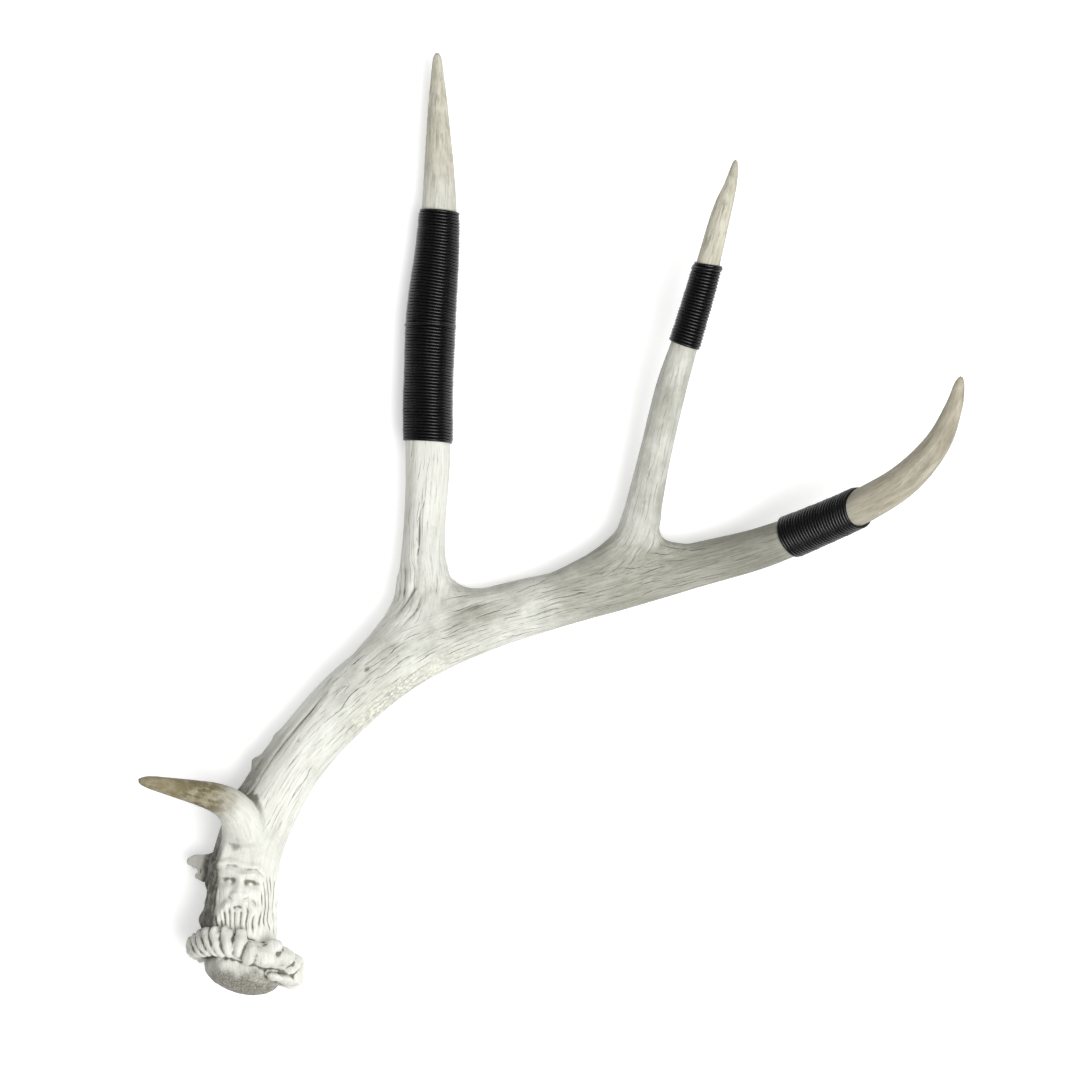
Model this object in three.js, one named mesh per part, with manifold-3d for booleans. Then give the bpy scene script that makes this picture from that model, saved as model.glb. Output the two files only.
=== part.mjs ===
// A shed deer antler with three cord-wound grips, lying on its outer side.
// Millimetres, +Z up. The limbs are measured from the middle of the burr: +X out along the beam,
// +Y towards the tips of the long tines, z = 0 the surface that the antler lies on.

import * as THREE from "three";
import { mergeVertices } from "three/addons/utils/BufferGeometryUtils.js";
import loadManifold from "manifold-3d";

const wasm = await loadManifold();
wasm.setup();

// Driving dimensions
const cordDiameter = 1.5;
const cordSeat = 0.35; // clearance between a tine and the winding on it
const forkParting = 0.3; // clearance where a tine meets the beam
const tineSides = 9;
const beamSides = 12;
const pointSides = 6;

// Stations along each limb: x, y, z of its middle, then its half-width from above and its half-depth
const beamStations = [
  [0.5, -3, 28, 16.4, 15.6],
  [-1.5, 17, 24.2, 16.2, 15.8],
  [0, 37.5, 21.5, 15.8, 15.3],
  [6, 58, 19.4, 15.6, 15.2],
  [20.5, 85, 17.6, 15.1, 14.8],
  [42.7, 110.8, 16.4, 14.9, 14.6],
  [73, 136, 15, 15.2, 14.2],
  [108, 152.5, 13.8, 14.3, 13.4],
  [143, 163, 12.6, 13, 12.6],
  [176, 171.2, 12.8, 11.9, 11.7],
  [208.5, 179.5, 17.5, 10.6, 10.4],
  [241, 188.2, 27, 9.6, 9.5],
  [267.8, 199, 39.5, 8.5, 8.5],
  [290, 209.6, 50.5, 8, 8],
  [306, 220.6, 59, 7.3, 7.3],
  [318.7, 236, 67.5, 5.9, 5.9],
  [325, 251.8, 74.5, 4, 4],
  [327, 261.5, 78.5, 2.5, 2.5],
  [327.5, 264.5, 80, 0.9, 0.9],
];
const longTineStations = [
  [50, 122.5, 15.5, 9.5, 9],
  [66.5, 139.5, 15, 11.3, 11],
  [81, 157.5, 14.3, 12.8, 11.8],
  [83.6, 173.5, 14.2, 12.2, 11.4],
  [83.2, 185, 14, 10.7, 10.7],
  [84, 201.5, 13.6, 10.2, 10.2],
  [85.7, 229.5, 13, 10.6, 10.5],
  [86, 262.5, 12.1, 10.4, 10.3],
  [87, 295.5, 11.55, 10.5, 10],
  [89.8, 328.5, 10.3, 9.1, 9],
  [90.8, 350, 10.3, 8, 8],
  [90.7, 371, 10.7, 6.7, 6.7],
  [90.3, 394.5, 11.6, 4.8, 4.8],
  [90.1, 412.5, 12.4, 2.9, 2.9],
  [90, 418.5, 12.8, 2, 2],
  [89.9, 420.5, 13, 0.9, 0.9],
];
const shortTineStations = [
  [141, 167.5, 13, 7, 7],
  [159, 175, 14, 8.2, 8.2],
  [172.5, 183, 16, 8.8, 8.8],
  [181.5, 191.5, 18, 9.2, 9.2],
  [185.5, 201.5, 19.8, 9.1, 9],
  [187.5, 211, 21, 8.4, 8.4],
  [192.6, 234, 24.5, 7.6, 7.6],
  [199.4, 262.5, 29, 7.3, 7.3],
  [206.4, 285.5, 32.5, 6.3, 6.3],
  [214.8, 314.5, 37, 5.7, 5.7],
  [221.9, 342, 41, 4.6, 4.6],
  [226.2, 355.5, 43, 3, 3],
  [228, 363.5, 44.3, 1.8, 1.8],
  [228.5, 366, 44.7, 0.8, 0.8],
];
const browTineStations = [
  [2.5, 52, 24, 13, 10.9],
  [-1, 63.5, 33, 9.4, 9],
  [-5.5, 69.7, 39.5, 7.8, 7.8],
  [-11, 73.2, 44.5, 6.8, 6.8],
  [-18.5, 75.8, 49, 5.7, 5.7],
  [-29, 78.5, 53, 4.4, 4.4],
  [-39, 81, 56.5, 3.1, 3.1],
  [-42.8, 81.8, 57.6, 2.1, 2.1],
  [-44.3, 82, 58, 0.9, 0.9],
];
// Webs in the crooks of the two forks, from the far side of the beam up into the tine
const longWebStations = [
  [122, 158, 13.5, 7, 7],
  [107.5, 161, 14, 7.5, 7.5],
  [93.5, 166, 14.2, 8, 8],
  [88.5, 174, 14.1, 7.5, 7.5],
  [85.5, 190, 13.9, 7, 7],
];
const shortWebStations = [
  [216, 184.5, 17.5, 5.5, 5.5],
  [204, 185, 18, 6, 6],
  [194.5, 187.7, 18.5, 6.2, 6.2],
  [189.5, 194, 19.2, 6, 6],
  [188, 206, 20.3, 5.5, 5.5],
];
// Two small points low on the beam
const upperPointStations = [
  [-9, 41, 15, 8, 7],
  [-18, 39.8, 14, 3.5, 3.2],
  [-24.5, 40.4, 13, 2.3, 2.2],
  [-27.8, 40.5, 12.6, 0.9, 0.9],
];
const lowerPointStations = [
  [-10, 31.5, 14, 5, 5],
  [-17, 33, 13.2, 3.2, 3],
  [-22, 33.8, 12.6, 2, 1.9],
  [-23.8, 34, 12.4, 0.8, 0.8],
];

// Where each tine parts from the beam, as a distance along the tine, and how wide the cutter clears it
const forks = {
  longTine: 64,
  shortTine: 61,
  browTine: 27,
};
const cutterMargin = 3;

// Cord windings: their two ends along the limb, and how far the turns lean from square at each end
const windings = {
  longTine: { from: 127, to: 236.5, leanFrom: -0.03, leanTo: -0.03 },
  shortTine: { from: 144.5, to: 185, leanFrom: 0, leanTo: 0.16 },
  beamTip: { from: 361, to: 400, leanFrom: 0, leanTo: 0 },
};

// Burr: the knobbly ring at the base, with the rough dome where the antler let go of the skull
const burr = {
  middle: [0.5, -2.5, 26.6],
  across: [0.969, -0.246, 0], // direction of the ring's long axis
  lift: THREE.MathUtils.degToRad(18), // how far the dome faces up
  oval: 0.94,
  knobs: 16, // an even number
  knobDepth: 0.075, // crests and clefts, as a share of the radius
  crowding: 0.42, // how much narrower the knobs are on the left than on the right
  droop: 1, // how far the right-hand side of the ring hangs below the left
};
const burrProfile = [
  [0, 17.2],
  [8, 16],
  [14, 12.6],
  [17.4, 7.6],
  [18.6, 5.6],
  [24, 5.4],
  [28, 1.6],
  [27.6, -2.6],
  [22.5, -7],
  [0, -8],
];

// Pearled collar above the burr: ridges that run down to it from a crown of lumps
const collar = { from: 0.02, to: 0.122, ridges: 10, reach: 1.9, steps: 7 };

// Trough along the upper side of the beam, from the brow tine to the long tine
const trough = { angle: THREE.MathUtils.degToRad(142), spread: 0.4, depth: 2.1, from: 0.19, to: 0.4 };

// A limb is a smooth line with an oval section that changes along it.
// Round the section, angle 0 is the right-hand side seen from above and a quarter turn faces up.
class Limb {
  constructor(stations, sides) {
    this.line = new THREE.CatmullRomCurve3(stations.map(([x, y, z]) => new THREE.Vector3(x, y, z)));
    this.line.arcLengthDivisions = 800;
    this.girth = new THREE.CatmullRomCurve3(stations.map(([, , , a, d]) => new THREE.Vector3(a, d, 0)));
    this.length = this.line.getLength();
    this.sides = sides;
    this.facet = Math.sqrt((2 * Math.PI) / (sides * Math.sin((2 * Math.PI) / sides))); // keeps the oval's area
  }

  shareAt(distance) {
    return this.line.getUtoTmapping(distance / this.length);
  }

  section(share) {
    const along = this.line.getTangent(share);
    const side = new THREE.Vector3().crossVectors(along, new THREE.Vector3(0, 0, 1)).normalize();
    const up = new THREE.Vector3().crossVectors(side, along);
    const { x: across, y: deep } = this.girth.getPoint(share);
    return { middle: this.line.getPoint(share), along, side, up, across, deep };
  }

  surface(share, angle, grow = 0) {
    const { middle, side, up, across, deep } = this.section(share);
    return middle
      .addScaledVector(side, this.facet * (across + grow) * Math.cos(angle))
      .addScaledVector(up, this.facet * (deep + grow) * Math.sin(angle));
  }

  outward(share, angle) {
    const { side, up, across, deep } = this.section(share);
    return side.multiplyScalar(Math.cos(angle) / across).addScaledVector(up, Math.sin(angle) / deep).normalize();
  }
}

// Closed solid of a limb between two shares of it, grown by a function, its far end moved on by overrun
function sweep(limb, steps, { from = 0, to = 1, grow = () => 0, overrun = 0 } = {}) {
  const geometry = new THREE.CylinderGeometry(1, 1, 1, limb.sides, steps);
  const place = geometry.attributes.position;
  for (let i = 0; i < place.count; i++) {
    const share = THREE.MathUtils.lerp(from, to, place.getY(i) + 0.5);
    const reach = Math.hypot(place.getX(i), place.getZ(i)); // 1 on the wall, 0 at the middle of an end
    const angle = Math.atan2(place.getZ(i), place.getX(i));
    const point = limb.line.getPoint(share).lerp(limb.surface(share, angle, grow(share, angle)), reach);
    if (share === to) {
      point.addScaledVector(limb.line.getTangent(share), overrun);
    }
    place.setXYZ(i, point.x, point.y, point.z);
  }
  return solidOf(geometry);
}

function solidOf(geometry) {
  geometry.deleteAttribute("normal");
  geometry.deleteAttribute("uv");
  const welded = mergeVertices(geometry);
  return new wasm.Manifold(
    new wasm.Mesh({
      numProp: 3,
      vertProperties: welded.attributes.position.array,
      triVerts: Uint32Array.from(welded.index.array),
    }),
  );
}

// Ellipsoid knob with its own long axis and outward direction
function knob(middle, along, outward, { length, width, height }) {
  const side = new THREE.Vector3().crossVectors(along, outward).normalize();
  const squareAlong = new THREE.Vector3().crossVectors(outward, side);
  const turn = new THREE.Matrix4().makeBasis(side, squareAlong, outward).setPosition(middle);
  const geometry = new THREE.SphereGeometry(1, 6, 4).scale(width, length, height);
  return solidOf(geometry.applyMatrix4(turn));
}

const join = (solids) => solids.reduce((whole, next) => whole.add(next));

// Steady scatter between -1 and 1 for the things that grow unevenly
const scatter = (seed) => Math.sin(seed * 12.9898) * Math.cos(seed * 4.1414);

const beam = new Limb(beamStations, beamSides);
const longTine = new Limb(longTineStations, tineSides);
const shortTine = new Limb(shortTineStations, tineSides);
const browTine = new Limb(browTineStations, tineSides);

function troughDepth(share, angle) {
  const turn = Math.atan2(Math.sin(angle - trough.angle), Math.cos(angle - trough.angle));
  const window =
    THREE.MathUtils.smoothstep(share, trough.from, trough.from + 0.06) *
    (1 - THREE.MathUtils.smoothstep(share, trough.to - 0.08, trough.to));
  return -trough.depth * window * Math.exp(-((turn / trough.spread) ** 2));
}

// Burr frame: X along the ring's long axis, Y up out of the ring, Z out of the dome
function burrFrame() {
  const across = new THREE.Vector3(...burr.across).normalize();
  const flat = new THREE.Vector3(across.y, -across.x, 0);
  const out = flat.multiplyScalar(Math.cos(burr.lift)).add(new THREE.Vector3(0, 0, Math.sin(burr.lift)));
  const rise = new THREE.Vector3().crossVectors(out, across);
  return new THREE.Matrix4().makeBasis(across, rise, out).setPosition(...burr.middle);
}

function burrSolid() {
  const segments = 2 * burr.knobs;
  const profile = burrProfile.map(([r, w]) => new THREE.Vector2(r, w)).reverse();
  const geometry = new THREE.LatheGeometry(profile, segments).rotateX(Math.PI / 2);
  const place = geometry.attributes.position;
  for (let i = 0; i < place.count; i++) {
    const radius = Math.hypot(place.getX(i), place.getY(i));
    const bearing = Math.atan2(place.getY(i), place.getX(i));
    const spoke = (Math.round((bearing / (2 * Math.PI)) * segments) + segments) % segments;
    const knobby = THREE.MathUtils.smoothstep(radius, 18, 23);
    const crest = spoke % 2 ? -1 : 1 + 0.4 * scatter(spoke);
    const reach = radius * (1 + burr.knobDepth * crest * knobby);
    const spot = bearing + burr.crowding * Math.sin(bearing);
    const drop = knobby * (burr.droop * Math.cos(spot) + 0.8 * scatter(spoke + 3));
    place.setXYZ(i, reach * Math.cos(spot), burr.oval * reach * Math.sin(spot), place.getZ(i) + drop);
  }
  return solidOf(geometry.applyMatrix4(burrFrame()));
}

// The collar swells from the beam: sharp ridges at its lower end, broad lumps at its crown
function collarSolid() {
  const skin = new Limb(beamStations, 2 * collar.ridges);
  const grow = (share, angle) => {
    const rise = THREE.MathUtils.mapLinear(share, collar.from, collar.to, 0, 1);
    const spoke = (Math.round((angle / (2 * Math.PI)) * skin.sides) + skin.sides) % skin.sides;
    const crown = Math.exp(-(((rise - 0.86 - 0.07 * scatter(spoke + 2)) / 0.1) ** 2));
    const ridge = spoke % 2 ? 0.1 : 0.75 + 0.25 * scatter(spoke + 40 * rise);
    const end = 1 - THREE.MathUtils.smoothstep(rise, 0.93, 1);
    return collar.reach * Math.max(ridge * (1 - 0.3 * rise), crown) * end - 0.6 * (1 - end);
  };
  return sweep(skin, collar.steps, { from: collar.from, to: collar.to, grow });
}

// Small single pearls further up the beam and beside the burr: share of the beam, angle, size
const strayPearls = [
  [0.206, 3.1, 1.9],
  [0.243, 3.2, 1.5],
  [0.062, 0.05, 2],
  [0.058, 3.2, 2],
];

function strayPearlSolids() {
  return strayPearls.map(([share, angle, size]) =>
    knob(
      beam.surface(share, angle),
      beam.section(share).along,
      beam.outward(share, angle),
      { length: size * 1.5, width: size, height: size * 0.8 },
    ),
  );
}

// Cutter that starts part of the way up a tine and covers the rest of it
function forkCutter(limb, distance) {
  return sweep(limb, 20, { from: limb.shareAt(distance), grow: () => cutterMargin, overrun: cutterMargin });
}

// Wound cord: one ridge that runs round and up the limb, turn against turn, bored to clear the limb.
// Crest and cleft points alternate along the helix, and both ends are closed to their middles.
function winding(limb, { from, to, leanFrom, leanTo }) {
  const turns = Math.round((to - from) / cordDiameter);
  const crest = cordSeat + cordDiameter;
  const cleft = cordSeat + cordDiameter / 2;
  const points = [];
  const put = (step, rise, grow) => {
    const angle = (0.25 + step / limb.sides) * 2 * Math.PI;
    const square = from + cordDiameter * (step / limb.sides + rise);
    const lean = THREE.MathUtils.mapLinear(square, from, to, leanFrom, leanTo);
    const middleShare = limb.shareAt(square);
    const distance = square + lean * limb.section(middleShare).across * Math.cos(angle);
    points.push(limb.surface(limb.shareAt(distance), angle, grow));
    return points.length - 1;
  };
  const steps = (turns - 1) * limb.sides;
  const crests = [];
  const clefts = [];
  for (let step = 0; step <= steps + limb.sides; step++) {
    crests.push(put(step, 0, crest));
    if (step <= steps) {
      clefts.push(put(step, 0.5, cleft));
    }
  }
  const bottom = points.push(limb.line.getPoint(limb.shareAt(from))) - 1;
  const top = points.push(limb.line.getPoint(limb.shareAt(to))) - 1;
  const faces = [];
  const quad = (a, b, c, d) => faces.push(a, b, c, a, c, d);
  for (let step = 0; step < steps; step++) {
    quad(crests[step], clefts[step], clefts[step + 1], crests[step + 1]);
    quad(clefts[step], crests[step + limb.sides], crests[step + 1 + limb.sides], clefts[step + 1]);
  }
  for (let step = 0; step < limb.sides; step++) {
    faces.push(bottom, crests[step], crests[step + 1]);
    faces.push(top, crests[steps + step + 1], crests[steps + step]);
  }
  faces.push(bottom, clefts[0], crests[0], bottom, crests[limb.sides], clefts[0]);
  faces.push(top, clefts[steps], crests[steps + limb.sides], top, crests[steps], clefts[steps]);
  const geometry = new THREE.BufferGeometry().setFromPoints(points);
  geometry.setIndex(faces);
  const margin = 3;
  const bore = sweep(limb, Math.ceil((to - from) / 12), {
    from: limb.shareAt(from - margin),
    to: limb.shareAt(to + margin),
    grow: () => cordSeat,
  });
  return solidOf(geometry).subtract(bore);
}

const bone = new THREE.MeshStandardMaterial({ color: 0xd9d8cc, roughness: 0.7, metalness: 0 });
const blackCord = new THREE.MeshStandardMaterial({ color: 0x141416, roughness: 0.45, metalness: 0 });

function meshOf(name, solid, material) {
  const { vertProperties, triVerts } = solid.getMesh();
  const geometry = new THREE.BufferGeometry();
  geometry.setAttribute("position", new THREE.BufferAttribute(vertProperties, 3));
  geometry.setIndex(new THREE.BufferAttribute(triVerts, 1));
  const mesh = new THREE.Mesh(geometry, material);
  mesh.name = name;
  return mesh;
}

// The antler grows as one piece and is parted at its forks
const whole = join([
  sweep(beam, 32, { grow: troughDepth }),
  sweep(longTine, 20),
  sweep(shortTine, 16),
  sweep(browTine, 10),
  sweep(new Limb(longWebStations, pointSides), 6),
  sweep(new Limb(shortWebStations, pointSides), 6),
  sweep(new Limb(upperPointStations, pointSides), 4),
  sweep(new Limb(lowerPointStations, pointSides), 4),
  burrSolid(),
  collarSolid(),
  ...strayPearlSolids(),
]);

let beamSolid = whole;
const tineSolids = {};
for (const [name, limb] of Object.entries({ longTine, shortTine, browTine })) {
  tineSolids[name] = whole.intersect(forkCutter(limb, forks[name] + forkParting / 2));
  beamSolid = beamSolid.subtract(forkCutter(limb, forks[name] - forkParting / 2));
}

// The places that carry the weight are worn flat where the surface cuts them
const ground = solidOf(new THREE.BoxGeometry(900, 900, 40).translate(150, 200, -20));
const worn = (solid) => solid.subtract(ground);

const antler = new THREE.Group();
antler.add(
  meshOf("beam", worn(beamSolid), bone),
  meshOf("brow_tine", tineSolids.browTine, bone),
  meshOf("long_tine", tineSolids.longTine, bone),
  meshOf("short_tine", tineSolids.shortTine, bone),
  meshOf("long_tine_winding", worn(winding(longTine, windings.longTine)), blackCord),
  meshOf("short_tine_winding", winding(shortTine, windings.shortTine), blackCord),
  meshOf("beam_tip_winding", winding(beam, windings.beamTip), blackCord),
);

// The origin is the middle of the footprint, on the surface
const middle = new THREE.Box3().setFromObject(antler).getCenter(new THREE.Vector3());
antler.position.set(-middle.x, -middle.y, 0);

export default antler;
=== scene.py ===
import math

import bpy
import numpy as np
from mathutils import Matrix, Vector
from mathutils.bvhtree import BVHTree


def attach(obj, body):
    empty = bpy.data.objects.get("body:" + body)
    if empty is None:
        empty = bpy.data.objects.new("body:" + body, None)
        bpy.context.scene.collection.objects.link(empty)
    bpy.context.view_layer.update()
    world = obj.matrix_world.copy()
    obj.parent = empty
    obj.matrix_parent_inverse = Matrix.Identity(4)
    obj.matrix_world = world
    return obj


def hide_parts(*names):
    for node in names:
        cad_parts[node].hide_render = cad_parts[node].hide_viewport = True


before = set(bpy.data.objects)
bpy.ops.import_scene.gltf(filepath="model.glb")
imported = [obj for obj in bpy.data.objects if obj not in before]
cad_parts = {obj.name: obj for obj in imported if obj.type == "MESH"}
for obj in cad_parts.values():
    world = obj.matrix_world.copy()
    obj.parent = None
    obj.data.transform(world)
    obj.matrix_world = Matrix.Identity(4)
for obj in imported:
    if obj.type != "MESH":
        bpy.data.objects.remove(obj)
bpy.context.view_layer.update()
mm = 0.001
burrAt = np.array([-142.5, -200.2, 0])  # the limbs are measured from the burr, in millimetres
rng = np.random.default_rng(41)


def deselectAll():
    if bpy.context.mode != "OBJECT":
        bpy.ops.object.mode_set(mode="OBJECT")
    bpy.ops.object.select_all(action="DESELECT")


def pickOnly(piece):
    deselectAll()
    piece.select_set(True)
    bpy.context.view_layer.objects.active = piece


def applyModifier(piece, kind, **settings):
    pickOnly(piece)
    modifier = piece.modifiers.new(kind.lower(), kind)
    for key, value in settings.items():
        setattr(modifier, key, value)
    bpy.ops.object.modifier_apply(modifier=modifier.name)


def getCo(piece):
    co = np.empty(len(piece.data.vertices) * 3)
    piece.data.vertices.foreach_get("co", co)
    return co.reshape(-1, 3)


def setCo(piece, co):
    piece.data.vertices.foreach_set("co", co.ravel())
    piece.data.update()


def getNormals(piece):
    normals = np.empty(len(piece.data.vertices) * 3)
    piece.data.vertex_normals.foreach_get("vector", normals)
    return normals.reshape(-1, 3)


def setAttribute(piece, name, values):
    kind, field = ("FLOAT", "value") if values.ndim == 1 else ("FLOAT_VECTOR", "vector")
    attribute = piece.data.attributes.new(name, kind, "POINT")
    attribute.data.foreach_set(field, values.astype(np.float32).ravel())


def ramp(value, low, high):
    t = np.clip((value - low) / (high - low), 0, 1)
    return t * t * (3 - 2 * t)


def noise(points, seed=0):  # smooth value noise between -1 and 1
    cell = np.floor(points).astype(np.int64)
    part = points - cell
    ease = part * part * (3 - 2 * part)
    total = np.zeros(len(points))
    for corner in np.ndindex(2, 2, 2):
        at = cell + np.array(corner)
        mix = at[:, 0] * 374761393 + at[:, 1] * 668265263 + at[:, 2] * 1440662683
        mix = (mix + seed * 97531) & 0x7FFFFFFF
        mix = ((mix ^ (mix >> 13)) * 1274126177) & 0x7FFFFFFF
        value = ((mix ^ (mix >> 16)) & 0xFFFF) / 65535.0
        total += value * np.prod(np.where(corner, ease, 1 - ease), axis=1)
    return 2 * total - 1


# camera: straight above, as the photograph was taken
cameraSetup = {"height": 1.5, "over": (138.4, 191.9), "frameWidth": 0.5076, "focus": 1.485, "sensor": 36}


def addCamera(setup):
    data = bpy.data.cameras.new("camera")
    data.sensor_width = setup["sensor"]
    data.lens = setup["sensor"] * setup["focus"] / setup["frameWidth"]
    camera = bpy.data.objects.new("camera", data)
    bpy.context.scene.collection.objects.link(camera)
    x, y = (np.array(setup["over"]) + burrAt[:2]) * mm
    camera.location = (x, y, setup["height"])
    bpy.context.scene.camera = camera
    print("camera is in place")


addCamera(cameraSetup)

# the limbs: x, y, z of the middle, half-width from above and half-depth, in millimetres from the burr
limbStations = {
    "beam": [
        (0.5, -3, 28, 16.4, 15.6), (-1.5, 17, 24.2, 16.2, 15.8), (0, 37.5, 21.5, 15.8, 15.3),
        (6, 58, 19.4, 15.6, 15.2), (20.5, 85, 17.6, 15.1, 14.8), (42.7, 110.8, 16.4, 14.9, 14.6),
        (73, 136, 15, 15.2, 14.2), (108, 152.5, 13.8, 14.3, 13.4), (143, 163, 12.6, 13, 12.6),
        (176, 171.2, 12.8, 11.9, 11.7), (208.5, 179.5, 17.5, 10.6, 10.4), (241, 188.2, 27, 9.6, 9.5),
        (267.8, 199, 39.5, 8.5, 8.5), (290, 209.6, 50.5, 8, 8), (306, 220.6, 59, 7.3, 7.3),
        (318.7, 236, 67.5, 5.9, 5.9), (325, 251.8, 74.5, 4, 4), (327, 261.5, 78.5, 2.5, 2.5),
        (327.6, 264.8, 80, 1.1, 1.1),
    ],
    "longTine": [
        (50, 122.5, 15.5, 9.5, 9), (66.5, 139.5, 15, 11.3, 11), (81, 157.5, 14.3, 12.8, 11.8),
        (83.6, 173.5, 14.2, 12.2, 11.4), (83.2, 185, 14, 10.7, 10.7), (84, 201.5, 13.6, 10.2, 10.2),
        (85.7, 229.5, 13, 10.6, 10.5), (86, 262.5, 12.1, 10.4, 10.3), (87, 295.5, 11.55, 10.5, 10),
        (89.8, 328.5, 10.3, 9.1, 8.8), (90.8, 350, 10.3, 8, 8), (90.7, 371, 10.7, 6.7, 6.7),
        (90.3, 394.5, 11.6, 4.8, 4.8), (90.1, 412.5, 12.4, 2.9, 2.9), (90, 418.5, 12.8, 2, 2),
        (89.9, 420.9, 13, 1.1, 1.1),
    ],
    "shortTine": [
        (141, 167.5, 13, 7, 7), (159, 175, 14, 8.2, 8.2), (172.5, 183, 16, 8.8, 8.8),
        (181.5, 191.5, 18, 9.2, 9.2), (185.5, 201.5, 19.8, 9.1, 9), (187.5, 211, 21, 8.4, 8.4),
        (192.6, 234, 24.5, 7.6, 7.6), (199.4, 262.5, 29, 7.3, 7.3), (206.4, 285.5, 32.5, 6.3, 6.3),
        (214.8, 314.5, 37, 5.7, 5.7), (221.9, 342, 41, 4.6, 4.6), (226.2, 355.5, 43, 3, 3),
        (228, 363.5, 44.3, 1.8, 1.8), (228.5, 366.4, 44.7, 1, 1),
    ],
    "browTine": [
        (2.5, 52, 24, 13, 10.9), (-1, 63.5, 33, 9.4, 9), (-5.5, 69.7, 39.5, 7.8, 7.8),
        (-11, 73.2, 44.5, 6.8, 6.8), (-18.5, 75.8, 49, 5.7, 5.7), (-29, 78.5, 53, 4.4, 4.4),
        (-39, 81, 56.5, 3.1, 3.1), (-42.8, 81.8, 57.6, 2.1, 2.1), (-44.5, 82.1, 58, 1.1, 1.1),
    ],
}

# the webs that fill the forks, and two small points on the far side of the neck
sideStations = {
    "longWeb": [
        (146, 168.5, 12.8, 6.5, 9), (129.6, 165.3, 13.3, 7, 10), (113, 162.3, 13.8, 7, 10.6),
        (101, 163.3, 14.1, 7, 10.9), (95, 166.6, 14.2, 7, 10.9), (90, 172.1, 14.2, 7, 10.6),
        (87.2, 182, 14, 7, 10), (86, 197, 13.8, 6.5, 9),
    ],
    "longFill": [
        (44, 108.5, 16, 8, 13), (63, 129.5, 15.2, 11, 13.4), (84, 150, 14.6, 12, 12.8),
        (101, 157.5, 14, 9, 11.6),
    ],
    "shortWeb": [
        (233, 187.3, 23.8, 5, 7.5), (216, 185.2, 19.6, 5.5, 8), (202, 185.2, 18.3, 5.5, 8.4),
        (192.6, 188.6, 18.6, 5.5, 8.5), (189.3, 193, 19, 5.5, 8.3), (188.8, 199, 19.8, 5.5, 8),
        (188.3, 209, 20.8, 5, 7.2),
    ],
    "shortFill": [
        (138, 162.5, 12.8, 7, 11.4), (158, 171, 13.2, 8, 11.2), (176, 178, 14.6, 9, 10.6),
        (193, 183.5, 17.2, 7.5, 9.2),
    ],
    "upperPoint": [
        (-9, 41, 15, 8, 7), (-18, 39.8, 14, 3.6, 3.3), (-24.5, 40.4, 13, 2.6, 2.5),
        (-28, 40.5, 12.6, 1.2, 1.2),
    ],
    "lowerPoint": [
        (-10, 31.5, 14, 5, 5), (-17, 33, 13.2, 3.3, 3.1), (-22, 33.8, 12.6, 2.2, 2.1),
        (-24, 34, 12.4, 1.1, 1.1),
    ],
}


def limbLine(stations, perSpan=14):
    rows = np.array(stations, float)
    rows[:, :3] += burrAt
    rows *= mm
    ends = np.vstack([2 * rows[0] - rows[1], rows, 2 * rows[-1] - rows[-2]])
    out = []
    for i in range(len(rows) - 1):
        a, b, c, d = ends[i:i + 4]
        for t in np.arange(perSpan) / perSpan:
            out.append(b + 0.5 * t * (c - a + t * (2 * a - 5 * b + 4 * c - d + t * (3 * b - a - 3 * c + d))))
    out = np.array(out + [rows[-1]])
    middle = out[:, :3]
    along = np.gradient(middle, axis=0)
    along /= np.linalg.norm(along, axis=1)[:, None]
    side = np.cross(along, (0, 0, 1))
    side /= np.linalg.norm(side, axis=1)[:, None]
    steps = np.linalg.norm(np.diff(middle, axis=0), axis=1)
    return {
        "middle": middle, "along": along, "side": side, "up": np.cross(side, along),
        "across": out[:, 3], "deep": out[:, 4], "run": np.concatenate([[0], np.cumsum(steps)]),
    }


lines = {name: limbLine(stations) for name, stations in limbStations.items()}


def addLimb(name, line, sides=40):
    rings = len(line["middle"]) - 1
    deselectAll()
    bpy.ops.mesh.primitive_grid_add(x_subdivisions=rings, y_subdivisions=sides, size=1)
    limb = bpy.context.object
    limb.name = name
    co = getCo(limb)
    ring = np.rint((co[:, 0] + 0.5) * rings).astype(int)
    turn = 2 * np.pi * (co[:, 1] + 0.5)
    reachAcross = (line["across"][ring] * np.cos(turn))[:, None]
    reachUp = (line["deep"][ring] * np.sin(turn))[:, None]
    setCo(limb, line["middle"][ring] + line["side"][ring] * reachAcross + line["up"][ring] * reachUp)
    bpy.ops.object.mode_set(mode="EDIT")
    bpy.ops.mesh.select_all(action="SELECT")
    bpy.ops.mesh.remove_doubles(threshold=1e-6)
    bpy.ops.mesh.fill_holes(sides=0)
    bpy.ops.mesh.normals_make_consistent(inside=False)
    bpy.ops.object.mode_set(mode="OBJECT")
    return limb


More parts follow.
